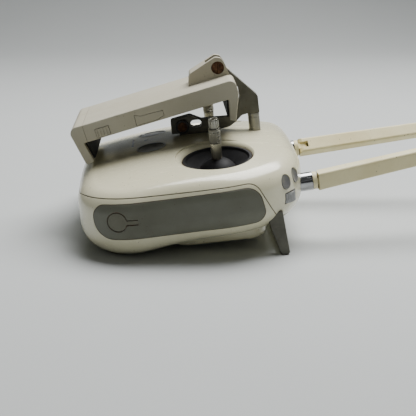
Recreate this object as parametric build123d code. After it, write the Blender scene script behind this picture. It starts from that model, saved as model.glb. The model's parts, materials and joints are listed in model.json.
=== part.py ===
from build123d import *
import math
import os

# Radio transmitter controller: a moulded two-stick handset with a folding device holder.
# Everything is modelled in the body frame (X to the pilot's right, Y away from the pilot, Z up
# out of the top face) and is tilted onto its two rear lobes and its handle bar at the end.

# ---------------------------------------------------------------- driving dimensions (mm)
TILT = 6.0                  # how far the front of the body is raised when it stands
HALF_WIDTH = 93.0
FRONT = 53.0
REAR = -90.0
FRONT_CORNER = 55.0
REAR_CORNER = 40.0
WALL = 2.4
SKIN = 1.4                  # thickness of the soft grip panels
TOP_ROUND = 14.0
BOTTOM_ROUND = 19.0
CROWN = 63.0                # highest point of the top face
CROWN_SIDE_RADIUS = 335.0
CROWN_FRONT_RADIUS = 260.0
CROWN_REAR_RADIUS = 400.0
CROWN_Y = -8.0
LOBE = 6.6                  # underside height at the two rear lobes
ARCH_RISE = 5.4             # how far the underside rises between the lobes
ARCH_HALF = 58.0
SEAM = 46.2                 # height of the parting line along the sides
SEAM_GROOVE = 0.5
GROOVE_DEPTH = 0.8

STICK_X = 52.0
STICK_TILT = 7.0            # each stick leans outwards with the top face
WELL_RADIUS = 22.0
WELL_WALL = 2.4
WELL_DEPTH = 10.0
WELL_LIP = 4.3
PIVOT_DEPTH = 16.0
BALL = 13.0
BALL_WALL = 1.4
RING_OUT = 17.8
RING_IN = 15.0
CUP_IN = 18.4
CUP_OUT = 21.9
TRUNNION = 1.6
RUNNING = 0.05              # radial clearance of every turning fit
KNOB_LOW = 7.2
KNOB_MID = 17.2
KNOB_TOP = 22.7
KNOB_RADIUS = 3.9

KEY_X = 22.0
KEY_Y = -41.4
KEY_RADIUS = 8.3
BEZEL_RADIUS = 9.8
CLEAR = 0.25                # gap round buttons and sliders

CORNER_KEY_RADIUS = 4.4
DIAL_RADIUS = 8.0
DIAL_TEETH = 36
DIAL_ANGLE = 54.0
DIAL_Z = 30.7
DIAL_THICK = 6.0
DIAL_PROUD = 2.0            # how far the dial stands out of its slot

SOCKET_X = 48.0
SOCKET_Z = 33.2
SOCKET_RADIUS = 5.9
SOCKET_FACE = 58.9
SOCKET_PITCH = 2.2
COLLAR_TOP = 2.9
HINGE_OUT = 7.2             # antenna hinge pin ahead of the socket face
PADDLE_TIP = 140.0
PADDLE_WIDTH = 12.0
PADDLE_THICK = 7.6
TIP_WIDTH = 9.4
TIP_THICK = 6.2
PIN_RADIUS = 1.2
FOLD_AT_REST = {"r": 10.0, "l": 0.0}
OPEN_SIDE = {"r": 168.0, "l": 45.0}   # direction each antenna folds towards, from +X round to +Z

PIVOT_Y = 7.6
PIVOT_Z = 105.9
HOLDER_PITCH = 10.6
HOLDER_HALF = 35.0
PLATE_TOP = -6.2            # holder heights are measured from the tilt pivot
PLATE_LOW = -17.6
PARTING = -93.2
JAW_GAP = 0.15
CHEEK = 9.0
SLOT_HALF = 4.8
BRACKET_HALF = 4.5
PIVOT_BORE = 2.0
SCREW_HEAD = 4.1

POST_Y = 28.7
POST_RADIUS = 3.9
POST_TOP = 72.8
BOSS = (-19.7, 68.8)
BOSS_RADIUS = 4.5
EYE_Y = (-11.6, -9.2)
EYE_Z = 69.7
EYE_RADIUS = 2.6

CAP_Y = -64.5
CAP_Z = 32.1
CAP_RADIUS = 5.7
CAP_GAP = 0.45
CAP_HINGE_Y = -51.9
TAB_HALF = 1.2

LEG_IN = 72.7
LEG_OUT = 78.3

parts = {}                  # node name -> shape in the body frame
LOW = (Align.CENTER, Align.CENTER, Align.MIN)
SIDES = {"r": 1, "l": -1}


# ---------------------------------------------------------------- helpers
def across(face, half, start=None):
    """Solid from a face in the YZ plane, from start (or -half) to half in X."""
    begin = -half if start is None else start
    return Pos(begin, 0, 0) * extrude(face, half - begin)


def outline(points, radii=None):
    """Face in the YZ plane from (y, z) corners, each rounded where a radius is given."""
    face = make_face(Polyline(*points, close=True))
    for point, radius in zip(points, radii or []):
        if radius:
            corner = face.vertices().sort_by_distance((point[0], point[1], 0))[0]
            face = fillet(corner, radius)
    return Plane.YZ * face


def widened(points, gap):
    """Corners of an outline whose every side is moved outwards by gap."""
    count = len(points)
    area = sum(points[i - 1][0] * points[i][1] - points[i][0] * points[i - 1][1] for i in range(count))
    turn = 1 if area > 0 else -1
    corners = []
    for i in range(count):
        before = Vector(*points[i]) - Vector(*points[i - 1])
        after = Vector(*points[(i + 1) % count]) - Vector(*points[i])
        out_a = Vector(before.Y, -before.X).normalized() * turn
        out_b = Vector(after.Y, -after.X).normalized() * turn
        shift = (out_a + out_b) * (gap / (1 + out_a.dot(out_b)))
        corners.append((points[i][0] + shift.X, points[i][1] + shift.Y))
    return corners


def shaft(radius, start, end, hollow=0.0):
    """Cylinder along local Z, from start to end."""
    body = Pos(0, 0, start) * Cylinder(radius, end - start, align=LOW)
    if hollow:
        body -= Pos(0, 0, start) * Cylinder(hollow, end - start, align=LOW)
    return body


def cross_shaft(radius, y, z, start, end):
    """Cylinder along X at (y, z)."""
    return Pos(start, y, z) * Rot(0, 90, 0) * Cylinder(radius, end - start, align=LOW)


def block(x, y, z):
    """Box from three (low, high) pairs."""
    size = Box(x[1] - x[0], y[1] - y[0], z[1] - z[0])
    return Pos((x[0] + x[1]) / 2, (y[0] + y[1]) / 2, (z[0] + z[1]) / 2) * size


def drop(y, inset=0.0):
    """How far the top face falls at y from its highest point."""
    radius = (CROWN_FRONT_RADIUS if y > CROWN_Y else CROWN_REAR_RADIUS) - inset
    return radius - math.sqrt(radius ** 2 - (y - CROWN_Y) ** 2)


def crown_z(x, y):
    """Height of the top face."""
    reach = CROWN_SIDE_RADIUS - drop(y)
    return CROWN - CROWN_SIDE_RADIUS + math.sqrt(reach ** 2 - x ** 2)


def round_off(shape, edges, radius):
    """Round the edges, with a smaller radius where the full one can't be built."""
    for share in (1.0, 0.75, 0.5):
        try:
            result = fillet(edges, radius * share)
        except Exception:
            continue
        if result.is_valid:
            if share < 1.0:
                print("rounded at", round(radius * share, 2), "instead of", radius)
            return result
    print("left sharp at", radius)
    return shape


def group(shapes):
    """Several separate solids as one shape."""
    whole = shapes[0]
    for shape in shapes[1:]:
        whole += shape
    return whole


def both_sides(name, shape):
    """A piece on the right and its mirror image on the left."""
    parts[name + "_r"] = shape
    parts[name + "_l"] = mirror(shape, about=Plane.YZ)


# ---------------------------------------------------------------- the moulded body
def body_plan(inset):
    half = HALF_WIDTH - inset
    rear = REAR + inset
    front = FRONT - inset
    plan = make_face(Polyline((-half, rear), (half, rear), (half, front), (-half, front), close=True))
    plan = fillet(plan.vertices().group_by(Axis.Y)[0], REAR_CORNER - inset)
    return fillet(plan.vertices().group_by(Axis.Y)[-1], FRONT_CORNER - inset)


def crown_solid(inset):
    """Everything below the domed top face, turned about a lengthwise axis deep under the body."""
    top = CROWN - inset
    stations = (REAR - 20, -60, CROWN_Y, 28, FRONT + 20)
    points = [(y, top - drop(y, inset)) for y in stations]
    edge = Spline(*points)
    rest = Polyline(points[-1], (FRONT + 20, -20), (REAR - 20, -20), points[0])
    axis = Axis((0, 0, CROWN - CROWN_SIDE_RADIUS), (0, 1, 0))
    return revolve(Plane.YZ * make_face(Curve() + [edge, rest]), axis, 48).rotate(axis, -24)


def under_cutter(inset):
    """Space below the underside: low at the rear lobes, rising gently to the front."""
    edge = Spline((REAR - 15, 15 + inset), (-78, 7.8 + inset), (-62, LOBE + inset), (-36, 9.8 + inset),
                  (25, 12.8 + inset), (FRONT + 15, 15.5 + inset))
    rest = Polyline((FRONT + 15, 15.5 + inset), (FRONT + 15, -30), (REAR - 15, -30),
                    (REAR - 15, 15 + inset))
    return across(Plane.YZ * make_face(Curve() + [edge, rest]), HALF_WIDTH + 10)


def arch_cutter(inset):
    """Shallow arch between the lobes, under the rear half."""
    low = LOBE - 1 + inset
    arc = ThreePointArc((-ARCH_HALF, low), (0, LOBE + ARCH_RISE + inset), (ARCH_HALF, low))
    rest = Polyline((ARCH_HALF, low), (ARCH_HALF, -20), (-ARCH_HALF, -20), (-ARCH_HALF, low))
    return Pos(0, -36, 0) * extrude(Plane.XZ * make_face(Curve() + [arc, rest]), 80)


def body_form(inset):
    """The closed outer shape of the body, moved inwards by inset."""
    form = extrude(body_plan(inset), 90) & crown_solid(inset)
    form -= under_cutter(inset)
    rim = [e for e in form.edges() if e.center().Z > 42 and e.bounding_box().size.Z < 20]
    form = round_off(form, rim, TOP_ROUND - inset)
    base = [e for e in form.edges() if e.center().Z < 20 and e.bounding_box().size.Z < 14]
    form = round_off(form, base, BOTTOM_ROUND - inset)
    return form - arch_cutter(inset)


outer = body_form(0.0)
inner = body_form(WALL)
under_skin = body_form(SKIN)
under_groove = body_form(GROOVE_DEPTH)

SEAM_LINE = [(-110, 42.5), (-84, 45.4), (20.5, SEAM), (33.0, 20.0), (46, 17.0), (70, 17.0),
             (70, 90), (-110, 90)]
SEAM_RADII = [0, 20, 9, 5, 6, 0, 0, 0]
upper_face = outline(SEAM_LINE, SEAM_RADII)
upper_region = across(upper_face, 110)
seam_face = offset(upper_face, SEAM_GROOVE / 2) - offset(upper_face, -SEAM_GROOVE / 2)
seam_groove = across(seam_face, 110) - under_groove
hollow_body = outer - inner
top_shell = (hollow_body & upper_region) - seam_groove
bottom_shell = (hollow_body - upper_region) - seam_groove

# ---------------------------------------------------------------- grip panels and charging cap
PANEL = [(-79.0, 42.3), (22.0, 44.2), (26.5, 21.0), (-79.0, 21.0)]
PANEL_RADII = [8.5, 11, 7, 12]
skin = outer - under_skin
panel = skin & across(outline(PANEL, PANEL_RADII), 110, 40)
pocket = skin & across(outline(widened(PANEL, CLEAR), PANEL_RADII), 110, 40)
bottom_shell = bottom_shell - pocket - mirror(pocket, about=Plane.YZ)
parts["grip_panel_l"] = mirror(panel, about=Plane.YZ)


def cap_column(gap):
    """Round plug with a tab pointing forwards, as a column along X."""
    disc = cross_shaft(CAP_RADIUS + gap, CAP_Y, CAP_Z, 60, 110)
    half = TAB_HALF + gap
    return disc + block((60, 110), (CAP_Y, CAP_HINGE_Y), (CAP_Z - 0.6 - half, CAP_Z - 0.6 + half))


parts["grip_panel_r"] = panel - cap_column(CAP_GAP)
parts["charge_cap"] = (outer - body_form(SKIN - 0.2)) & cap_column(0)
jack = cross_shaft(4.2, CAP_Y, CAP_Z, 77, 86.8) - cross_shaft(2.75, CAP_Y, CAP_Z, 79, 88)
parts["charge_jack"] = jack + cross_shaft(0.8, CAP_Y, CAP_Z, 78, 86)
bottom_shell -= cross_shaft(4.2, CAP_Y, CAP_Z, 78, 95)

# ---------------------------------------------------------------- gimbal wells and sticks
lip_out = WELL_RADIUS + WELL_LIP
lip_top = -lip_out ** 2 / (2 * CROWN_SIDE_RADIUS)
lip_arc = RadiusArc((WELL_RADIUS, lip_top - WELL_LIP), (lip_out, lip_top), WELL_LIP)
lip_rest = Polyline((lip_out, lip_top), (lip_out, 4), (WELL_RADIUS - 2, 4),
                    (WELL_RADIUS - 2, lip_top - WELL_LIP), (WELL_RADIUS, lip_top - WELL_LIP))
lip_cutter = revolve(Plane.XZ * make_face(Curve() + [lip_arc, lip_rest]), Axis.Z, 360)
wells = {}
for side, sign in SIDES.items():
    wells[side] = Pos(sign * STICK_X, 0, crown_z(STICK_X, 0)) * Rot(0, sign * STICK_TILT, 0)
    wall = wells[side] * shaft(WELL_RADIUS + WELL_WALL, -WELL_DEPTH, 8)
    top_shell += wall & outer
    top_shell -= wells[side] * shaft(WELL_RADIUS, -WELL_DEPTH - 5, 12)
    top_shell -= wells[side] * lip_cutter

RING_PROFILE = [(21.9, -3.2), (21.9, -10.6), (18.5, -10.6), (18.5, -7.6), (11.9, -10.5),
                (11.5, -9.2), (19.5, -4.6), (20.4, -3.2)]
well_ring = revolve(Plane.XZ * make_face(Polyline(*RING_PROFILE, close=True)), Axis.Z, 360)
gimbal_cup = shaft(CUP_OUT, -29, -10.6) - shaft(CUP_IN, -27, -10)
cup_bores = Rot(90, 0, 0) * Cylinder(TRUNNION + RUNNING, 60)
gimbal_cup -= Pos(0, 0, -PIVOT_DEPTH) * cup_bores
gimbal_ring = shaft(RING_OUT, -2, 2, RING_IN)
for sign in (1, -1):
    gimbal_ring += Rot(-90 * sign, 0, 0) * shaft(TRUNNION, RING_OUT - 1, 20)
gimbal_ring -= Rot(0, 90, 0) * Cylinder(TRUNNION + RUNNING, 60)

boot = (Sphere(BALL) - Sphere(BALL - BALL_WALL)) & shaft(BALL + 1, -1, BALL + 1)
stick_shaft = Pos(0, 0, -1) * Cone(2.3, KNOB_RADIUS - 0.2, PIVOT_DEPTH + KNOB_LOW + 1, align=LOW)
stick_shaft += Sphere(4.5) + Rot(0, 90, 0) * Cylinder(TRUNNION, 2 * (RING_OUT - 0.6))
boot -= stick_shaft
knob = shaft(KNOB_RADIUS, KNOB_LOW, KNOB_MID)
for groove_z in (KNOB_LOW + 0.9, (KNOB_LOW + KNOB_MID) / 2, KNOB_MID - 0.8):
    knob -= shaft(KNOB_RADIUS + 1, groove_z - 0.35, groove_z + 0.35, KNOB_RADIUS - 0.45)
crown_part = shaft(KNOB_RADIUS - 0.6, KNOB_MID, KNOB_TOP)
for tooth in range(3):
    crown_part -= Rot(0, 0, 60 * tooth) * block((-6, 6), (-0.7, 0.7), (KNOB_TOP - 2.6, KNOB_TOP + 1))
crown_part -= shaft(1.5, KNOB_TOP - 2.6, KNOB_TOP + 1)
knob += crown_part

pivots = {side: frame * Pos(0, 0, -PIVOT_DEPTH) for side, frame in wells.items()}
for side in SIDES:
    parts["well_ring_" + side] = wells[side] * well_ring
    parts["gimbal_cup_" + side] = wells[side] * gimbal_cup
    parts["gimbal_ring_" + side] = pivots[side] * gimbal_ring
    parts["stick_boot_" + side] = pivots[side] * boot
    parts["stick_shaft_" + side] = pivots[side] * stick_shaft
    parts["stick_knob_" + side] = wells[side] * knob

# ---------------------------------------------------------------- keys and lights on the top face
KEY_LEAN_Y = math.degrees(math.asin(KEY_X / CROWN_SIDE_RADIUS))
KEY_LEAN_X = math.degrees(math.asin((CROWN_Y - KEY_Y) / CROWN_REAR_RADIUS))
keys = {}
for side, sign in SIDES.items():
    place = Pos(sign * KEY_X, KEY_Y, crown_z(KEY_X, KEY_Y))
    keys[side] = place * Rot(0, sign * KEY_LEAN_Y, 0) * Rot(KEY_LEAN_X, 0, 0)
    top_shell -= keys[side] * shaft(BEZEL_RADIUS, -6, 6)
bezel = shaft(BEZEL_RADIUS, -3, 0.1, KEY_RADIUS + CLEAR)
key_cap = shaft(KEY_RADIUS, -3.2, -0.3) - Pos(0, 0, 59.2) * Sphere(60)
parts["key_bezels"] = group([keys["r"] * bezel, keys["l"] * bezel])
parts["power_key"] = keys["r"] * key_cap
parts["home_key"] = keys["l"] * key_cap

lights = []
for step in range(4):
    x = -9 + 6 * step
    spot = Pos(x, -54, crown_z(x, -54) - 2.2)
    lights.append(spot * extrude(SlotOverall(4.3, 1.4), 2.3))
    top_shell -= spot * extrude(SlotOverall(4.4, 1.5), 2.3)
parts["battery_lights"] = group(lights)
light_spot = Pos(0, -45, crown_z(0, -45) - 2.2)
parts["status_light"] = light_spot * Cylinder(1.45, 2.3, align=LOW)
top_shell -= light_spot * Cylinder(1.5, 2.3, align=LOW)

# ---------------------------------------------------------------- controls round the front corners
CORNER_X = HALF_WIDTH - FRONT_CORNER
CORNER_Y = FRONT - FRONT_CORNER


def corner_frame(angle, z, lean, inset):
    """Frame on the rounded front corner, with its Z axis along the outward normal."""
    turn = math.radians(angle)
    rise = math.radians(lean)
    reach = FRONT_CORNER - inset
    spot = (CORNER_X + reach * math.cos(turn), CORNER_Y + reach * math.sin(turn), z)
    normal = (math.cos(turn) * math.cos(rise), math.sin(turn) * math.cos(rise), math.sin(rise))
    along = (-math.sin(turn), math.cos(turn), 0)
    return Location(Plane(origin=spot, x_dir=along, z_dir=normal))


corner_key = shaft(CORNER_KEY_RADIUS, -3.0, 0.7) - Pos(0, 0, 20.4) * Sphere(20)
corner_hole = shaft(CORNER_KEY_RADIUS + CLEAR, -8, 6)
outer_key = corner_frame(50, 40.9, 18, 0.9)
inner_key = corner_frame(63, 42.0, 20, 1.2)
outer_place = {"r": outer_key * corner_key, "l": mirror(outer_key * corner_key, about=Plane.YZ)}
parts["shutter_key"] = outer_place["r"]
parts["record_key"] = outer_place["l"]
parts["playback_key"] = inner_key * corner_key
cut = outer_key * corner_hole
top_shell = top_shell - cut - mirror(cut, about=Plane.YZ) - inner_key * corner_hole

mode_slot = extrude(SlotOverall(13, 4.6), 14)
mode_knob = extrude(SlotOverall(5, 4.1), 4.2) + Pos(0, 0, 3.2) * extrude(SlotOverall(5, 1.6), 1.8)
parts["mode_switch"] = mirror(inner_key * Pos(0, 0, -3) * mode_knob, about=Plane.YZ)
top_shell -= mirror(inner_key * Pos(0, 0, -8) * mode_slot, about=Plane.YZ)

dial_reach = FRONT_CORNER + DIAL_PROUD - DIAL_RADIUS
dial_turn = math.radians(DIAL_ANGLE)
dial_spot = (CORNER_X + dial_reach * math.cos(dial_turn), CORNER_Y + dial_reach * math.sin(dial_turn))
dial_points = []
for tooth in range(2 * DIAL_TEETH):
    angle = math.pi * tooth / DIAL_TEETH
    radius = DIAL_RADIUS - 0.45 * (tooth % 2)
    dial_points.append((radius * math.cos(angle), radius * math.sin(angle)))
dial = extrude(make_face(Polyline(*dial_points, close=True)), DIAL_THICK / 2, both=True)
dial -= Cylinder(1.0 + RUNNING, 20)
dial_place = Pos(dial_spot[0], dial_spot[1], DIAL_Z)
dial_hole = dial_place * Cylinder(DIAL_RADIUS + 0.4, DIAL_THICK + 0.8)
top_shell = top_shell - dial_hole - mirror(dial_hole, about=Plane.YZ)
both_sides("dial", dial_place * dial)
half_gap = DIAL_THICK / 2 + 0.3
carrier = shaft(2.0, -half_gap - 1.6, half_gap + 1.6) - Cylinder(20, 2 * half_gap)
carrier += Cylinder(1.0, 2 * half_gap)
right_axle = dial_place * carrier
parts["dial_axles"] = group([right_axle, mirror(right_axle, about=Plane.YZ)])

# ---------------------------------------------------------------- antennas
sockets = {}
hinges = {}
lean = math.radians(SOCKET_PITCH)
axis_out = Vector(0, math.cos(lean), math.sin(lean))
for side, sign in SIDES.items():
    turn = math.radians(OPEN_SIDE[side])
    open_dir = Vector(math.cos(turn), 0, math.sin(turn))
    open_dir = (open_dir - axis_out * open_dir.dot(axis_out)).normalized()
    spot = (sign * SOCKET_X, SOCKET_FACE, SOCKET_Z)
    sockets[side] = Location(Plane(origin=spot, x_dir=open_dir, z_dir=axis_out))
    hinges[side] = sockets[side] * Pos(0, 0, HINGE_OUT)

socket = shaft(SOCKET_RADIUS, -14, 0) - shaft(3.0 + RUNNING, -10.5, 1)
tongue = block((-2.3, 2.3), (-2.2, 2.2), (COLLAR_TOP - 0.2, HINGE_OUT))
tongue += Pos(0, 0, HINGE_OUT) * Rot(90, 0, 0) * Cylinder(2.3, 4.4)
swivel = shaft(3.0, -10, 0.3) + shaft(SOCKET_RADIUS - 0.3, 0.15, COLLAR_TOP) + tongue
swivel -= Pos(0, 0, HINGE_OUT) * Rot(90, 0, 0) * Cylinder(PIN_RADIUS + RUNNING, 20)
hinge_pin = Rot(90, 0, 0) * Cylinder(PIN_RADIUS, PADDLE_WIDTH - 0.8)

root = RectangleRounded(PADDLE_THICK, PADDLE_WIDTH, 1.6)
tip = RectangleRounded(TIP_THICK, TIP_WIDTH, 1.6)
paddle_root = COLLAR_TOP + 0.4 - HINGE_OUT
paddle = loft([Pos(0, 0, paddle_root) * root, Pos(0, 0, PADDLE_TIP - HINGE_OUT) * tip])
paddle = round_off(paddle, paddle.faces().sort_by(Axis.Z)[-1].edges(), 1.4)
notch_end = 3.2
paddle -= block((-2.65, 6), (-2.45, 2.45), (paddle_root - 1, notch_end))
root_corner = block((0, 6), (-9, 9), (paddle_root - 1, 0)) - Rot(90, 0, 0) * Cylinder(3.9, 30)
paddle -= root_corner
paddle -= hinge_pin

for side in SIDES:
    bent = hinges[side] * Rot(0, FOLD_AT_REST[side], 0)
    parts["antenna_swivel_" + side] = sockets[side] * swivel
    parts["antenna_pin_" + side] = bent * hinge_pin
    parts["antenna_paddle_" + side] = bent * paddle
    top_shell -= sockets[side] * shaft(SOCKET_RADIUS, -16, 10)

parts["antenna_sockets"] = group([frame * socket for frame in sockets.values()])

# ---------------------------------------------------------------- bracket, post and lanyard eye
BRACKET = [(9.4, 108.5), (32.4, 84.0), (32.6, POST_TOP), (24.9, POST_TOP), (20.7, 72.1), (16.3, 68.2),
           (12.0, 65.4), (5.4, 64.2), (-27.3, 64.2), (-27.3, 73.4), (-14.0, 75.7), (-6.5, 71.9),
           (13.0, 71.5), (17.5, 76.0), (20.6, 84.0), (20.0, 91.0), (16.0, 95.5), (7.6, 101.0)]
BRACKET_RADII = [0, 2, 0, 0, 3, 4, 4, 5, 1, 1.5, 3, 3, 3, 4, 5, 4, 3, 0]
bracket = across(outline(BRACKET, BRACKET_RADII), BRACKET_HALF)
bracket += cross_shaft(5.1, PIVOT_Y, PIVOT_Z, -BRACKET_HALF, BRACKET_HALF)
bracket -= cross_shaft(PIVOT_BORE + RUNNING, PIVOT_Y, PIVOT_Z, -20, 20)
eye = block((-20, 20), (EYE_Y[0], EYE_Y[1]), (EYE_Z - EYE_RADIUS, EYE_Z + EYE_RADIUS))
for y in EYE_Y:
    eye += cross_shaft(EYE_RADIUS, y, EYE_Z, -20, 20)
bracket -= eye
bracket -= cross_shaft(2.0, BOSS[0], BOSS[1], -20, 20)
parts["bracket"] = bracket + (block((-4, 4), (-22, 3), (58, 65.0)) - outer)
boss = cross_shaft(BOSS_RADIUS, BOSS[0], BOSS[1], BRACKET_HALF, 7.2)
boss -= cross_shaft(3.3, BOSS[0], BOSS[1], 6.0, 9)
boss -= cross_shaft(2.0, BOSS[0], BOSS[1], 4, 9)
parts["boss_rings"] = boss + mirror(boss, about=Plane.YZ)
boss_screw = cross_shaft(2.0, BOSS[0], BOSS[1], -6, 6) + cross_shaft(3.2, BOSS[0], BOSS[1], 6, 7.0)
boss_screw += cross_shaft(3.2, BOSS[0], BOSS[1], -7.0, -6)
boss_screw -= block((6.5, 8), (BOSS[0] - 4, BOSS[0] + 4), (BOSS[1] - 0.4, BOSS[1] + 0.4))
parts["boss_screw"] = boss_screw

post = Pos(0, POST_Y, 0) * shaft(POST_RADIUS, 55, POST_TOP)
post = round_off(post, post.edges().filter_by(lambda e: e.center().Z > POST_TOP - 0.1), 0.9)
post -= Pos(0, POST_Y, 0) * shaft(POST_RADIUS + 1, POST_TOP - 3.4, POST_TOP - 2.8, POST_RADIUS - 0.35)
parts["bracket_post"] = post
top_shell -= Pos(0, POST_Y, 0) * shaft(POST_RADIUS, 50, 70)

# ---------------------------------------------------------------- device holder
holder = Pos(0, PIVOT_Y, PIVOT_Z) * Rot(HOLDER_PITCH, 0, 0)
PLATE = [(PARTING, PLATE_TOP), (8.2, PLATE_TOP), (8.2, -15.5), (1.6, -32.6), (-2.0, -30.6),
         (0.9, PLATE_LOW), (PARTING, PLATE_LOW)]
PLATE_RADII = [0, 4.5, 5, 1.3, 0.9, 0, 0]
plate = across(outline(PLATE, PLATE_RADII), HOLDER_HALF)
long_edges = [e for e in plate.edges() if abs(abs(e.center().X) - HOLDER_HALF) < 0.01
              and e.center().Y > PARTING + 1 and e.center().Z < -5]
plate = round_off(plate, long_edges, 0.7)
CHEEK_SIDE = [(-22.0, PLATE_TOP - 1), (-18.85, 1.5), (0.3, 7.2), (3.6, 5.6), (5.0, 2.0), (6.6, -9.0),
              (0, -9.0)]
plate += across(outline(CHEEK_SIDE, [0, 1.6, 3, 1.6, 2, 0, 0]), CHEEK)
ARM_SLOT = [(-7.0, 12), (-7.0, -6.4), (-1.0, -7.2), (5.6, -13.6), (8.4, -17.5), (12, -17.5), (12, 12)]
plate -= across(outline(ARM_SLOT), SLOT_HALF)
plate -= block((-30, 30), (PARTING - 1, -14), (PLATE_LOW + 1.8, PLATE_TOP - 2.0))
plate -= cross_shaft(PIVOT_BORE, 0, 0, -20, 20)
for start, end in ((7.6, 12), (-12, -7.6)):
    plate -= cross_shaft(SCREW_HEAD + 0.15, 0, 0, start, end)

RELEASE_Y = (-86.3, -77.5)
RELEASE_Z = (-16.8, -11.2)
gap_y = (RELEASE_Y[0] - CLEAR, RELEASE_Y[1] + CLEAR)
gap_z = (RELEASE_Z[0] - CLEAR, RELEASE_Z[1] + CLEAR)
plate -= block((28, 40), gap_y, gap_z)
release = block((28.5, HOLDER_HALF + 0.2), RELEASE_Y, RELEASE_Z)
rib_pitch = (RELEASE_Y[1] - RELEASE_Y[0] - 0.9) / 4
for rib in range(5):
    low = RELEASE_Y[0] + rib * rib_pitch
    release += block((HOLDER_HALF, HOLDER_HALF + 0.75), (low, low + 0.9), RELEASE_Z)
LATCH = [(-59.6, -9.7), (-56.2, -11.4), (-41.5, -11.9), (-41.5, -15.2), (-46.0, -16.4), (-59.9, -16.4)]
plate -= across(outline(widened(LATCH, CLEAR)), HOLDER_HALF + 3, 30.5)
latch = across(outline(LATCH), HOLDER_HALF + 0.1, 31.6)

JAW = [(PARTING - JAW_GAP, PLATE_TOP), (-103.2, -6.0), (-98.6, -31.9), (-92.9, -31.0),
       (-95.8, PLATE_LOW), (PARTING - JAW_GAP, PLATE_LOW)]
jaw = across(outline(JAW, [0, 4.5, 2.2, 1.2, 0.8, 0]), HOLDER_HALF)
jaw_edges = [e for e in jaw.edges() if abs(abs(e.center().X) - HOLDER_HALF) < 0.01
             and e.center().Y < PARTING - JAW_GAP - 0.05]
jaw = round_off(jaw, jaw_edges, 0.7)
rail = block((12, 26), (PARTING - JAW_GAP, -20), (PLATE_LOW + 2.6, PLATE_TOP - 2.8))
JAW_PAD = [(-95.6, -18.3), (-94.3, -18.0), (-91.85, -29.3), (-93.15, -29.6)]
FRONT_PAD = [(0.74, -18.3), (-0.5, -18.1), (-3.0, -28.9), (-1.69, -29.2)]
pivot_screw = cross_shaft(PIVOT_BORE, 0, 0, -7.6, 7.6)
for start, end in ((7.6, 8.8), (-8.8, -7.6)):
    pivot_screw += cross_shaft(SCREW_HEAD, 0, 0, start, end)
pivot_screw -= Rot(70, 0, 0) * block((8.2, 10), (-5, 5), (-0.45, 0.45))

parts["holder_plate"] = holder * plate
parts["holder_release"] = holder * release
parts["holder_latch"] = holder * latch
parts["holder_jaw"] = holder * jaw
parts["jaw_rails"] = holder * (rail + mirror(rail, about=Plane.YZ))
parts["jaw_pad"] = holder * across(outline(JAW_PAD), 30)
liner = block((-27, 27), (-85, -10), (PLATE_LOW - 0.8, PLATE_LOW))
parts["holder_pads"] = holder * group([across(outline(FRONT_PAD), 30), liner])
parts["pivot_screw"] = holder * pivot_screw

# ---------------------------------------------------------------- underside
belly_plan = RectangleRounded(136, 60, 12)
belly = Pos(0, -4, 4.8) * extrude(belly_plan, 14)
belly = round_off(belly, belly.edges().filter_by(lambda e: e.center().Z < 4.9), 3.5)
belly_hollow = Pos(0, -4, 6.8) * extrude(RectangleRounded(132, 56, 10), 14)
parts["belly_cover"] = (belly - belly_hollow) - outer

for sign in (1, -1):
    bottom_shell -= Pos(sign * 40, -62, 0) * shaft(4.2 + CLEAR, 0, 20)
rear_key = Pos(40, -62, 0) * (shaft(4.2, 8.4, 14.6) + shaft(5.2, 13.4, 14.6))
both_sides("rear_key", rear_key)

screws = []
for x, y in ((22, -66), (-22, -66), (34, 31), (-34, 31)):
    bottom_shell -= Pos(x, y, 0) * shaft(2.4, 5, 20)
    head = Pos(x, y, 0) * (shaft(2.4, 12.6, 15.2) + shaft(1.3, 15.2, 18.5))
    for turn in (0, 90):
        head -= Pos(x, y, 12.6) * Rot(0, 0, turn) * Box(3.0, 0.7, 1.6)
    screws.append(head)
parts["case_screws"] = group(screws)

usb_z = 31
bottom_shell -= block((-7.1, 7.1), (REAR - 5, REAR + 8), (usb_z - 3.8, usb_z + 3.8))
usb = block((-7.1, 7.1), (REAR + 0.6, REAR + 15), (usb_z - 3.8, usb_z + 3.8))
usb -= block((-6.5, 6.5), (REAR - 1, REAR + 13), (usb_z - 3.2, usb_z + 3.2))
usb += block((-5.4, 5.4), (REAR + 3, REAR + 14), (usb_z + 2.1, usb_z + 3.2))
parts["usb_socket"] = usb

parts["battery_pack"] = block((-25, 25), (-52, 22), (19.5, 46))
parts["main_board"] = block((-68, 68), (-48, 24), (17.2, 18.8))
parts["radio_module"] = block((-18, 18), (26, 44), (23, 31))

# ---------------------------------------------------------------- handle bar, down to the floor
tilted = Rot(TILT, 0, 0) * bottom_shell
floor_lift = -tilted.bounding_box().min.Z
SIN_TILT = math.sin(math.radians(TILT))
COS_TILT = math.cos(math.radians(TILT))


def floor_z(y):
    """Height of the floor under the standing body, in the body frame."""
    return (-floor_lift - y * SIN_TILT) / COS_TILT


LEG = [(25.0, 24.0), (36.0, 24.0), (38.3, floor_z(38.3) + 1.8), (37.3, floor_z(37.3)),
       (33.4, floor_z(33.4)), (32.2, floor_z(32.2) + 1.6)]
leg = across(outline(LEG), LEG_OUT, LEG_IN)
BAR = [(32.6, 0.9), (37.9, 0.9)] + LEG[2:]
handle = leg + mirror(leg, about=Plane.YZ) + across(outline(BAR), LEG_IN)
handle_edges = [e for e in handle.edges() if abs(abs(e.center().X) - LEG_OUT) < 0.01 and e.center().Z < 23]
handle = round_off(handle, handle_edges, 0.8)
parts["handle_bar"] = handle
bottom_shell -= handle
top_shell -= handle

parts["top_shell"] = top_shell
parts["bottom_shell"] = bottom_shell

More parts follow.
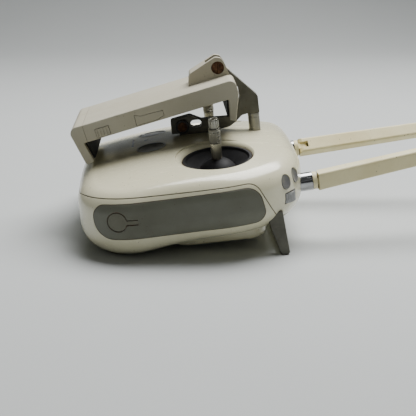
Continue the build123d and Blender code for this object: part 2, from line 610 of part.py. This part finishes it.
# ---------------------------------------------------------------- stand it on the floor and write
standing = {name: Rot(TILT, 0, 0) * shape for name, shape in parts.items()}
boxes = [shape.bounding_box() for shape in standing.values()]
y_low = min(box.min.Y for box in boxes)
y_high = max(box.max.Y for box in boxes)
stand = Pos(0, -(y_low + y_high) / 2, floor_lift) * Rot(TILT, 0, 0)

if __name__ == "__main__":
    os.makedirs("parts", exist_ok=True)
    for name, shape in parts.items():
        export_step(stand * shape, os.path.join("parts", name + ".step"))
    print(len(parts), "nodes, depth", round(y_high - y_low, 1), "mm")
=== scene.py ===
"""Looks of a hand-held radio transmitter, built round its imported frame."""
import json
import math

import bmesh
import bpy
from mathutils import Matrix, Vector


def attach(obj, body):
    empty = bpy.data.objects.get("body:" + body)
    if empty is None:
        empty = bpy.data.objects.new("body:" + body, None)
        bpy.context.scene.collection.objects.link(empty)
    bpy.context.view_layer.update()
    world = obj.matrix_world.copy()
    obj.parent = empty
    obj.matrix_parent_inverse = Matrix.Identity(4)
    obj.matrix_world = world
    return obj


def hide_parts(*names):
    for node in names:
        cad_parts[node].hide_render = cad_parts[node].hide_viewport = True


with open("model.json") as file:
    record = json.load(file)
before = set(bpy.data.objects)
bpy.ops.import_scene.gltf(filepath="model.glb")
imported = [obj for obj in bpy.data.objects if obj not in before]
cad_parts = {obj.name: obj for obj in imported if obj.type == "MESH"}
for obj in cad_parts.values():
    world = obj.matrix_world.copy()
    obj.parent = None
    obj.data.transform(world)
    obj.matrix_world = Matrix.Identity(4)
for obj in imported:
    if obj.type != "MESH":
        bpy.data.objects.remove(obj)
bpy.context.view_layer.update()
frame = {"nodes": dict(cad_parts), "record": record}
NODES = frame["nodes"]
JOINTS = {joint["name"]: joint for joint in frame["record"]["behaviour"]["joints"]}
MM = 0.001

# Stick grips, in mm; heights are measured from the stick's pivot.
PIVOT_DEPTH = 16.0
BARREL_FOOT = PIVOT_DEPTH + 7.2
BARREL_HEAD = PIVOT_DEPTH + 17.2
CROWN_TIP = PIVOT_DEPTH + 22.7
BARREL_RADIUS = 3.85
CROWN_RADIUS = 3.2
CROWN_TEETH = 12
TOOTH_GAP = 0.84
KNURL_PITCH = 0.28
KNURL_DEPTH = 0.28
KNURL_COUNT = 26
TURNING_STEPS = 144

SEATING = 0.1               # how far the left grip panel stands off its pocket

# The paper sweep, in metres.
SWEEP_FRONT = 1.6
SWEEP_BACK = -0.9
SWEEP_BEND = 0.5
SWEEP_TOP = 2.2
SWEEP_HALF = 2.5
BEND_STEPS = 12

CAMERA_YAW = math.radians(2.3)
CAMERA_PITCH = math.radians(15.64)
CAMERA_PLACE = Vector((0.68645, -0.08478, 0.20119))
FOCAL_LENGTH = 89.65

# ---------------------------------------------------------------- shared shader effects


def tone(red, green, blue):
    """A paint-chart colour from 0-255 values, as linear light."""
    linear = []
    for value in (red, green, blue):
        value /= 255
        linear.append(value / 12.92 if value <= 0.04045 else ((value + 0.055) / 1.055) ** 2.4)
    return (*linear, 1.0)


def effect(name, inputs, outputs):
    """An empty node group with its named sockets, and its two end nodes."""
    group = bpy.data.node_groups.new(name, "ShaderNodeTree")
    for label, default in inputs:
        socket = group.interface.new_socket(label, in_out="INPUT", socket_type="NodeSocketFloat")
        socket.default_value = default
    for label, kind in outputs:
        group.interface.new_socket(label, in_out="OUTPUT", socket_type=kind)
    start = group.nodes.new("NodeGroupInput")
    end = group.nodes.new("NodeGroupOutput")
    return group, start, end


def add(tree, kind, links=None, **settings):
    """A node with its settings and input values; a link is given as another node's output."""
    node = tree.nodes.new(kind)
    for key, value in settings.items():
        setattr(node, key, value)
    for key, value in (links or {}).items():
        if isinstance(value, bpy.types.NodeSocket):
            tree.links.new(value, node.inputs[key])
        else:
            node.inputs[key].default_value = value
    return node


def sums(tree, operation, first, second=0.5, third=0.5, clamp=False):
    """A math node's output."""
    node = add(tree, "ShaderNodeMath", {0: first, 1: second, 2: third}, operation=operation, use_clamp=clamp)
    return node.outputs[0]


def clouds_effect():
    """Broad mottling, fine grain and scattered specks on Object coordinates."""
    group, start, end = effect(
        "mottle", [("Cloud Scale", 40.0), ("Grain Scale", 2500.0), ("Speck Scale", 350.0)],
        [("Cloud", "NodeSocketFloat"), ("Grain", "NodeSocketFloat"), ("Specks", "NodeSocketFloat")])
    place = add(group, "ShaderNodeTexCoord").outputs["Object"]
    cloud = add(group, "ShaderNodeTexNoise", {"Vector": place, "Scale": start.outputs["Cloud Scale"],
                                              "Detail": 5.0, "Roughness": 0.62})
    grain = add(group, "ShaderNodeTexNoise", {"Vector": place, "Scale": start.outputs["Grain Scale"],
                                              "Detail": 2.0})
    cells = add(group, "ShaderNodeTexVoronoi", {"Vector": place, "Scale": start.outputs["Speck Scale"]})
    near = sums(group, "LESS_THAN", cells.outputs["Distance"], 0.13)
    patch = add(group, "ShaderNodeTexNoise", {"Vector": place, "Scale": 90.0, "Detail": 1.0})
    some = sums(group, "GREATER_THAN", patch.outputs["Fac"], 0.56)
    group.links.new(cloud.outputs["Fac"], end.inputs["Cloud"])
    group.links.new(grain.outputs["Fac"], end.inputs["Grain"])
    group.links.new(sums(group, "MULTIPLY", near, some), end.inputs["Specks"])
    return group


def edge_effect():
    """Edges softened to a small radius, and a broken mask of where they are rubbed."""
    group, start, end = effect("rubbed_edges", [("Radius", 0.0004), ("Break Scale", 300.0)],
                               [("Mask", "NodeSocketFloat"), ("Normal", "NodeSocketVector")])
    soft = add(group, "ShaderNodeBevel", {"Radius": start.outputs["Radius"]}, samples=6)
    flat = add(group, "ShaderNodeNewGeometry").outputs["Normal"]
    match = add(group, "ShaderNodeVectorMath", {0: soft.outputs["Normal"], 1: flat}, operation="DOT_PRODUCT")
    turned = sums(group, "SUBTRACT", 1.0, match.outputs["Value"])
    strong = sums(group, "MULTIPLY", turned, 9.0, clamp=True)
    place = add(group, "ShaderNodeTexCoord").outputs["Object"]
    noise = add(group, "ShaderNodeTexNoise", {"Vector": place, "Scale": start.outputs["Break Scale"],
                                              "Detail": 4.0, "Roughness": 0.7})
    broken = sums(group, "MULTIPLY_ADD", noise.outputs["Fac"], 4.0, -1.7, clamp=True)
    group.links.new(sums(group, "MULTIPLY", strong, broken), end.inputs["Mask"])
    group.links.new(soft.outputs["Normal"], end.inputs["Normal"])
    return group


def dust_effect():
    """Dust lying on what faces up, thinner in patches."""
    group, start, end = effect("settled_dust", [("Amount", 0.3)], [("Mask", "NodeSocketFloat")])
    facing = add(group, "ShaderNodeSeparateXYZ", {0: add(group, "ShaderNodeNewGeometry").outputs["Normal"]})
    up = sums(group, "MULTIPLY_ADD", facing.outputs["Z"], 1.6, -0.5, clamp=True)
    place = add(group, "ShaderNodeTexCoord").outputs["Object"]
    noise = add(group, "ShaderNodeTexNoise", {"Vector": place, "Scale": 140.0,
                                              "Detail": 6.0, "Roughness": 0.75})
    thin = sums(group, "MULTIPLY_ADD", noise.outputs["Fac"], 2.2, -0.7, clamp=True)
    mask = sums(group, "MULTIPLY", sums(group, "MULTIPLY", up, thin), start.outputs["Amount"])
    group.links.new(mask, end.inputs["Mask"])
    return group


def scratch_effect():
    """Long fine hairlines that cross at shallow angles."""
    group, start, end = effect("hairlines", [("Scale", 300.0)], [("Mask", "NodeSocketFloat")])
    place = add(group, "ShaderNodeTexCoord").outputs["Object"]
    lines = []
    for turn, stretch in ((0.35, 0.05), (-0.9, 0.07)):
        spun = add(group, "ShaderNodeMapping", {"Vector": place, "Rotation": (0.3, 0.2, turn),
                                                "Scale": (1.0, stretch, 1.0)})
        noise = add(group, "ShaderNodeTexNoise", {"Vector": spun.outputs[0], "Scale": start.outputs["Scale"],
                                                  "Detail": 1.0})
        lines.append(sums(group, "COMPARE", noise.outputs["Fac"], 0.5, 0.004))
    group.links.new(sums(group, "MAXIMUM", lines[0], lines[1]), end.inputs["Mask"])
    return group


def grime_and_shade_effect():
    """How deep a spot lies in a groove or corner, used to lay brown grime and painted shade into seams,
    creases and corners between parts.
    """
    group, start, end = effect("groove_grime_and_painted_shade", [("Distance", 0.0012)], [("Mask", "NodeSocketFloat")])
    hidden = add(group, "ShaderNodeAmbientOcclusion", {"Distance": start.outputs["Distance"]}, samples=8)
    hollow_grime_and_shade = sums(group, "SUBTRACT", 1.0, hidden.outputs["AO"])
    group.links.new(sums(group, "MULTIPLY_ADD", hollow_grime_and_shade, 3.2, -1.25, clamp=True), end.inputs["Mask"])
    return group


MOTTLE = clouds_effect()
EDGES = edge_effect()
DUST = dust_effect()
HAIRLINES = scratch_effect()
GRIME_AND_SHADE = grime_and_shade_effect()


def blended(tree, mask, strength, below, above):
    """Colour below, with colour above laid over it where the mask is."""
    weight = sums(tree, "MULTIPLY", mask, strength, clamp=True)
    node = add(tree, "ShaderNodeMix", data_type="RGBA")
    tree.links.new(weight, node.inputs["Factor"])
    for value, socket in ((below, node.inputs[6]), (above, node.inputs[7])):
        if isinstance(value, bpy.types.NodeSocket):
            tree.links.new(value, socket)
        else:
            socket.default_value = value
    return node.outputs[2]


# The last brown colour and its strength are laid into grooves, seams and corners as grime and painted shade.
def finish(name, colour, mottled, roughness, spread=0.08, metallic=0.0, coat=0.0, cloud=40.0, grain=2500.0,
           depth=0.00002, radius=0.0004, worn=None, wear=0.5, dust=0.2, specks=0.0, hairlines=0.0,
           specular=0.5, clear=0.0, grime_and_shade=0.75, groove=0.0011, grime_and_shade_colour=tone(96, 68, 44)):
    """A material made of the shared effects with its own colours, scales and strengths."""
    material = bpy.data.materials.new(name)
    material.use_nodes = True
    tree = material.node_tree
    shader = tree.nodes["Principled BSDF"]
    mottle = add(tree, "ShaderNodeGroup", node_tree=MOTTLE)
    mottle.inputs["Cloud Scale"].default_value = cloud
    mottle.inputs["Grain Scale"].default_value = grain
    edges = add(tree, "ShaderNodeGroup", node_tree=EDGES)
    edges.inputs["Radius"].default_value = radius
    lying = add(tree, "ShaderNodeGroup", node_tree=DUST)
    lying.inputs["Amount"].default_value = dust
    lines = add(tree, "ShaderNodeGroup", node_tree=HAIRLINES)
    patches = sums(tree, "MULTIPLY_ADD", mottle.outputs["Cloud"], 3.0, -1.0, clamp=True)
    paint = blended(tree, patches, 1.0, colour, mottled)
    paint = blended(tree, mottle.outputs["Specks"], specks, paint, tone(74, 58, 40))
    paint = blended(tree, edges.outputs["Mask"], wear, paint, worn or mottled)
    # Brown grime and painted shade: darkening in grooves, seams and corners between parts, from ambient
    # occlusion.
    hollow_grime_and_shade = add(tree, "ShaderNodeGroup", node_tree=GRIME_AND_SHADE)
    hollow_grime_and_shade.inputs["Distance"].default_value = groove
    paint = blended(tree, lying.outputs["Mask"], 1.0, paint, tone(186, 180, 164))
    paint = blended(tree, hollow_grime_and_shade.outputs["Mask"], grime_and_shade, paint, grime_and_shade_colour)
    tree.links.new(paint, shader.inputs["Base Color"])
    rough = sums(tree, "MULTIPLY_ADD", patches, spread, roughness)
    rough = sums(tree, "MULTIPLY_ADD", lying.outputs["Mask"], 0.4, rough)
    rough = sums(tree, "MULTIPLY_ADD", lines.outputs["Mask"], hairlines, rough, clamp=True)
    tree.links.new(rough, shader.inputs["Roughness"])
    bump = add(tree, "ShaderNodeBump", {"Height": mottle.outputs["Grain"], "Strength": 0.5,
                                        "Distance": depth, "Normal": edges.outputs["Normal"]})
    tree.links.new(bump.outputs["Normal"], shader.inputs["Normal"])
    shader.inputs["Metallic"].default_value = metallic
    shader.inputs["Coat Weight"].default_value = coat
    shader.inputs["Coat Roughness"].default_value = 0.12
    shader.inputs["Specular IOR Level"].default_value = specular
    shader.inputs["Transmission Weight"].default_value = clear
    return material


IVORY = tone(228, 223, 193)
FINISHES = {
    "bowl": finish("bowl_black_rubber", tone(10, 10, 13), tone(18, 18, 22), 0.55, 0.12, cloud=90,
                   grain=1600, depth=0.00003, radius=0.0003, dust=0.02, wear=0.0, specular=0.25),
    "shell": finish("ivory_gloss_plastic", IVORY, tone(222, 217, 184), 0.17, 0.08, coat=0.5, cloud=22,
                    grain=900, depth=0.000006, worn=tone(196, 182, 148), wear=0.35, dust=0.04, specks=0.4,
                    hairlines=0.25),
    "grip": finish("olive_soft_rubber", tone(106, 107, 93), tone(98, 98, 83), 0.46, 0.1, cloud=45,
                   grain=3200, depth=0.00003, radius=0.0009, worn=tone(104, 74, 50), wear=1.0, dust=0.15,
                   specks=0.3),
    "cap_rubber": finish("plug_rubber", tone(112, 112, 96), tone(102, 100, 84), 0.5, 0.12, cloud=90,
                         grain=3200, depth=0.00005, radius=0.0004, worn=tone(134, 112, 86), wear=0.7,
                         dust=0.2),
    "holder_plastic": finish("pale_matte_plastic", tone(186, 181, 162), tone(177, 171, 150), 0.5, 0.1,
                             cloud=30, grain=2200, depth=0.00005, worn=tone(224, 222, 210), wear=0.4,
                             dust=0.2, specks=0.35),
    "pad_rubber": finish("black_pad_rubber", tone(30, 30, 30), tone(44, 43, 41), 0.7, 0.1, grain=1800,
                         depth=0.00008, dust=0.25),
    "plain_steel": finish("plain_steel", tone(168, 168, 166), tone(140, 139, 134), 0.32, 0.16, metallic=1.0,
                          cloud=120, radius=0.0002, dust=0.08, hairlines=0.2),
    "brown_screw": finish("rusty_screw", tone(112, 78, 50), tone(60, 38, 26), 0.55, 0.3, metallic=0.45,
                          cloud=420, grain=4200, depth=0.00012, radius=0.0003, worn=tone(176, 132, 92),
                          wear=0.9, dust=0.1),
    "grey_metal": finish("grey_satin_metal", tone(98, 97, 86), tone(80, 78, 68), 0.36, 0.16, metallic=0.35,
                         cloud=80, radius=0.0005, worn=tone(166, 160, 142), wear=0.8, dust=0.18,
                         hairlines=0.2, specks=0.4),
    "nickel": finish("worn_nickel", tone(158, 157, 148), tone(142, 139, 126), 0.24, 0.14, metallic=1.0,
                     cloud=120, radius=0.0002, worn=tone(176, 172, 160), wear=0.4, dust=0.0, hairlines=0.2,
                     grime_and_shade=0.5),
    "socket_chrome": finish("bright_chrome", tone(170, 171, 172), tone(150, 150, 150), 0.08, 0.08,
                            metallic=1.0, cloud=90, radius=0.0003, dust=0.03, hairlines=0.2),
    "cream_plastic": finish("aged_cream_plastic", tone(232, 222, 176), tone(218, 204, 150), 0.42, 0.14,
                            cloud=26, grain=2000, depth=0.00004, radius=0.0005, worn=tone(158, 128, 84),
                            wear=0.75, dust=0.1, specks=0.6),
    "pin_steel": finish("pin_steel", tone(120, 116, 108), tone(86, 78, 66), 0.35, 0.2, metallic=0.9,
                        cloud=500, radius=0.0001, dust=0.05),
    "satin_silver": finish("satin_silver", tone(172, 173, 174), tone(150, 150, 148), 0.3, 0.14,
                           metallic=0.85, cloud=180, radius=0.0002, worn=tone(206, 204, 198), wear=0.7,
                           dust=0.06, hairlines=0.2),
    "key_grey": finish("grey_key_plastic", tone(122, 124, 126), tone(104, 105, 106), 0.3, 0.12, coat=0.3,
                       cloud=150, radius=0.0003, dust=0.1, hairlines=0.2),
    "black_plastic": finish("black_moulded_plastic", tone(26, 26, 27), tone(38, 37, 36), 0.42, 0.16,
                            cloud=90, grain=1600, depth=0.00003, radius=0.0003, worn=tone(78, 76, 72),
                            wear=0.4, dust=0.12),
    "lens": finish("milky_lens", tone(226, 228, 224), tone(210, 212, 206), 0.14, 0.1, coat=0.4, cloud=400,
                   radius=0.0001, dust=0.05, clear=0.35),
    "cell_wrap": finish("cell_wrap", tone(60, 84, 140), tone(50, 70, 120), 0.3, dust=0.0),
    "board": finish("board_green", tone(30, 94, 62), tone(24, 78, 50), 0.35, dust=0.0),
}

for entry in frame["record"]["subparts"]:
    mesh = NODES[entry["node"]].data
    mesh.materials.clear()
    inside_bowl = entry["node"].startswith(("well_ring", "stick_boot", "gimbal"))
    mesh.materials.append(FINISHES["bowl" if inside_bowl else entry["material_slot"]])

# ---------------------------------------------------------------- turned grips on the sticks


def piece(name, form, slot, body, stands_for=()):
    """A finished mesh as an object of the part, with its finish, body and the CAD nodes it stands for."""
    bmesh.ops.remove_doubles(form, verts=form.verts, dist=1e-6)
    bmesh.ops.recalc_face_normals(form, faces=form.faces)
    mesh = bpy.data.meshes.new(name)
    form.to_mesh(mesh)
    form.free()
    thing = bpy.data.objects.new(name, mesh)
    bpy.context.scene.collection.objects.link(thing)
    mesh.materials.append(FINISHES[slot])
    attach(thing, body)
    if stands_for:
        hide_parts(*stands_for)
    return thing


def turned(profile, steps):
    """A closed turned form from a profile of (radius, height) in mm."""
    form = bmesh.new()
    verts = [form.verts.new((radius * MM, 0, height * MM)) for radius, height in profile]
    edges = [form.edges.new(pair) for pair in zip(verts, verts[1:])]
    bmesh.ops.spin(form, geom=verts + edges, cent=(0, 0, 0), axis=(0, 0, 1), angle=2 * math.pi, steps=steps,
                   use_merge=True)
    bmesh.ops.remove_doubles(form, verts=form.verts, dist=1e-7)
    return form


def knurl(form, low, high, radius, count, depth):
    """Crossing grooves cut into the skin between two heights."""
    for vert in form.verts:
        height = vert.co.z / MM
        reach = math.hypot(vert.co.x, vert.co.y) / MM
        if low <= height <= high and abs(reach - radius) < 0.05:
            angle = math.atan2(vert.co.y, vert.co.x)
            climb = height / radius
            rising = abs(math.sin(count / 2 * (angle + climb)))
            falling = abs(math.sin(count / 2 * (angle - climb)))
            ridge = max(rising, falling)
            shrink = 1 - depth * (1 - ridge) / radius * 2.2
            vert.co.x *= shrink
            vert.co.y *= shrink


def toothed_crown(form):
    """Gaps between the teeth pressed into the crown's rim."""
    for vert in form.verts:
        height = vert.co.z / MM
        reach = math.hypot(vert.co.x, vert.co.y) / MM
        if height > BARREL_HEAD + 0.5 and reach > CROWN_RADIUS - 0.4:
            angle = math.atan2(vert.co.y, vert.co.x)
            shrink = TOOTH_GAP if math.sin(CROWN_TEETH * angle) < -0.1 else 1.0
            vert.co.x *= shrink
            vert.co.y *= shrink


def stick_grip(side):
    """Knurled barrel with a toothed crown, on the stick's own axis."""
    rock = JOINTS["stick_" + side + "_sideways"]
    tip = JOINTS["stick_" + side + "_fore_aft"]
    along_y = Vector(rock["axis"]).normalized()
    along_x = -Vector(tip["axis"]).normalized()
    along_z = along_x.cross(along_y)
    place = Matrix((along_x, along_y, along_z)).transposed().to_4x4()
    place.translation = Vector(rock["pos_m"])
    low, middle, top, radius = BARREL_FOOT, BARREL_HEAD, CROWN_TIP, BARREL_RADIUS
    rings = [(0, low), (2.3, low), (radius - 0.3, low + 0.2), (radius, low + 0.8)]
    level = low + 1.1
    while level < middle - 1.0:
        rings.append((radius, level))
        level += KNURL_PITCH
    rings += [(radius, middle - 0.9), (radius - 0.25, middle - 0.4), (2.6, middle - 0.3), (2.6, middle + 0.4),
              (CROWN_RADIUS, middle + 0.6), (CROWN_RADIUS, top - 0.6), (2.9, top), (1.7, top),
              (1.5, top - 1.1), (0, top - 1.1)]
    form = turned(rings, TURNING_STEPS)
    knurl(form, low + 1.0, middle - 1.0, radius, KNURL_COUNT, KNURL_DEPTH)
    toothed_crown(form)
    bmesh.ops.transform(form, matrix=place, verts=form.verts)
    return piece("stick_grip_" + side, form, "nickel", "stick_" + side, ["stick_knob_" + side])


for side in ("r", "l"):
    stick_grip(side)

# ---------------------------------------------------------------- left grip panel

def seated_panel():
    """The left grip panel as one joined skin, standing clear of the pocket it lies in."""
    form = bmesh.new()
    form.from_mesh(NODES["grip_panel_l"].data)
    bmesh.ops.translate(form, vec=(-SEATING * MM, 0, 0), verts=form.verts)
    panel = piece("grip_skin_l", form, "grip", "handset", ["grip_panel_l"])
    for face in panel.data.polygons:
        face.use_smooth = True
    panel.data.set_sharp_from_angle(angle=math.radians(35))


seated_panel()

# ---------------------------------------------------------------- floor, light and camera


def sweep():
    """A seamless pale sheet that rises behind the object."""
    form = bmesh.new()
    outline = [(SWEEP_FRONT, 0.0), (SWEEP_BACK, 0.0)]
    for step in range(1, BEND_STEPS + 1):
        angle = math.pi / 2 * step / BEND_STEPS
        outline.append((SWEEP_BACK - SWEEP_BEND * math.sin(angle), SWEEP_BEND - SWEEP_BEND * math.cos(angle)))
    outline.append((SWEEP_BACK - SWEEP_BEND, SWEEP_TOP))
    verts = [form.verts.new((x, -SWEEP_HALF, z)) for x, z in outline]
    edges = [form.edges.new(pair) for pair in zip(verts, verts[1:])]
    made = bmesh.ops.extrude_edge_only(form, edges=edges)["geom"]
    moved = [item for item in made if isinstance(item, bmesh.types.BMVert)]
    bmesh.ops.translate(form, vec=(0, 2 * SWEEP_HALF, 0), verts=moved)
    bmesh.ops.recalc_face_normals(form, faces=form.faces)
    if form.faces[:][0].normal.z < 0:
        bmesh.ops.reverse_faces(form, faces=form.faces)
    for face in form.faces:
        face.smooth = True
    mesh = bpy.data.meshes.new("paper_sweep")
    form.to_mesh(mesh)
    form.free()
    sheet = bpy.data.objects.new("paper_sweep", mesh)
    bpy.context.scene.collection.objects.link(sheet)
    paper = finish("pale_paper", tone(188, 191, 190), tone(186, 189, 188), 0.9, cloud=3, grain=500,
                   depth=0.00002,
                   dust=0.0, wear=0.0)
    mesh.materials.append(paper)


def lamp(name, place, aim, size, power, spread=180):
    """A soft square light at place, turned towards aim, with its beam spread over so many degrees."""
    data = bpy.data.lights.new(name, "AREA")
    data.shape = "SQUARE"
    data.size = size
    data.energy = power
    data.spread = math.radians(spread)
    thing = bpy.data.objects.new(name, data)
    bpy.context.scene.collection.objects.link(thing)
    thing.location = place
    thing.rotation_euler = (Vector(aim) - Vector(place)).to_track_quat("-Z", "Y").to_euler()


sweep()
lamp("top_light", (-0.36, 0.24, 1.15), (0, -0.02, 0.03), 1.0, 21, spread=130)
lamp("front_fill", (1.3, -0.5, 0.9), (0, 0, 0.04), 1.4, 0.5)
world = bpy.data.worlds.new("studio")
world.use_nodes = True
world.node_tree.nodes["Background"].inputs["Color"].default_value = tone(214, 218, 220)
world.node_tree.nodes["Background"].inputs["Strength"].default_value = 0.1
bpy.context.scene.world = world

lens = bpy.data.cameras.new("camera")
lens.lens = FOCAL_LENGTH
lens.sensor_width = 36.0
lens.clip_start = 0.01
camera = bpy.data.objects.new("camera", lens)
bpy.context.scene.collection.objects.link(camera)
camera.location = CAMERA_PLACE
level = math.cos(CAMERA_PITCH)
facing = Vector((-math.cos(CAMERA_YAW) * level, math.sin(CAMERA_YAW) * level, -math.sin(CAMERA_PITCH)))
camera.rotation_euler = facing.to_track_quat("-Z", "Y").to_euler()
bpy.context.scene.camera = camera
